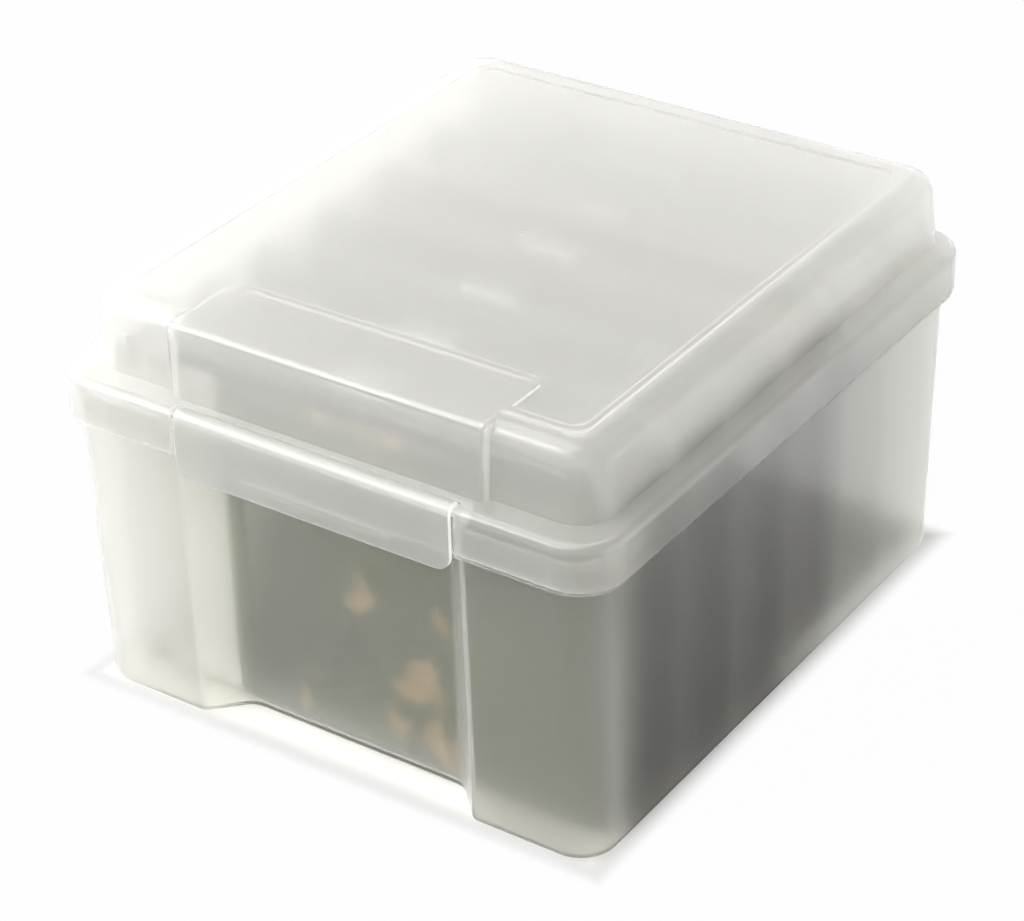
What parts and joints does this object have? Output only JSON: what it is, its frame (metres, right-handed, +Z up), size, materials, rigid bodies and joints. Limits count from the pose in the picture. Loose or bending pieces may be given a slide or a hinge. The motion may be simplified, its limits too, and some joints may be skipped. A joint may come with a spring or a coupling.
{
  "type": "photo keeper case",
  "caption": "Frosted clear storage tub with a rear-hinged lid and a clip-on front latch, holding slim hinged photo cases that stand on edge.",
  "frame": {"origin": "middle of the tub's floor, on the surface that it stands on", "axes": "+X to the right along the front, -Y out of the front towards the latch, +Z up"},
  "size_m": [0.222, 0.2595, 0.1545],
  "materials": {
    "tub_polypropylene": "frosted translucent polypropylene, smooth outside",
    "lid_polypropylene": "frosted translucent polypropylene, smooth outside",
    "latch_polypropylene": "frosted translucent polypropylene, smooth outside",
    "case_polypropylene": "thin translucent polypropylene",
    "dark_prints": "edges of dark photographic prints",
    "front_print": "satin photographic print, olive"
  },
  "bodies": {
    "tub_and_cases": {"tub": "tub_polypropylene", "case_1_tray": "case_polypropylene", "case_1_cover": "case_polypropylene", "case_1_prints": "dark_prints", "case_2_tray": "case_polypropylene", "case_2_cover": "case_polypropylene", "case_2_prints": "dark_prints", "case_3_tray": "case_polypropylene", "case_3_cover": "case_polypropylene", "case_3_prints": "dark_prints", "case_4_tray": "case_polypropylene", "case_4_cover": "case_polypropylene", "case_4_prints": "dark_prints", "case_5_tray": "case_polypropylene", "case_5_cover": "case_polypropylene", "case_6_tray": "case_polypropylene", "case_6_cover": "case_polypropylene", "case_1_front_print": "front_print"},
    "lid_body": {"lid": "lid_polypropylene"},
    "latch_body": {"latch": "latch_polypropylene"}
  },
  "joints": [
    {"name": "lid_hinge", "type": "hinge", "parent": "tub_and_cases", "child": "lid_body", "pos_m": [0, 0.1296, 0.1107], "axis": [-1, 0, 0], "range_deg": [0, 110]},
    {"name": "latch_hinge", "type": "hinge", "parent": "lid_body", "child": "latch_body", "pos_m": [0, -0.12235, 0.12365], "axis": [-1, 0, 0], "range_deg": [0, 130]}
  ]
}
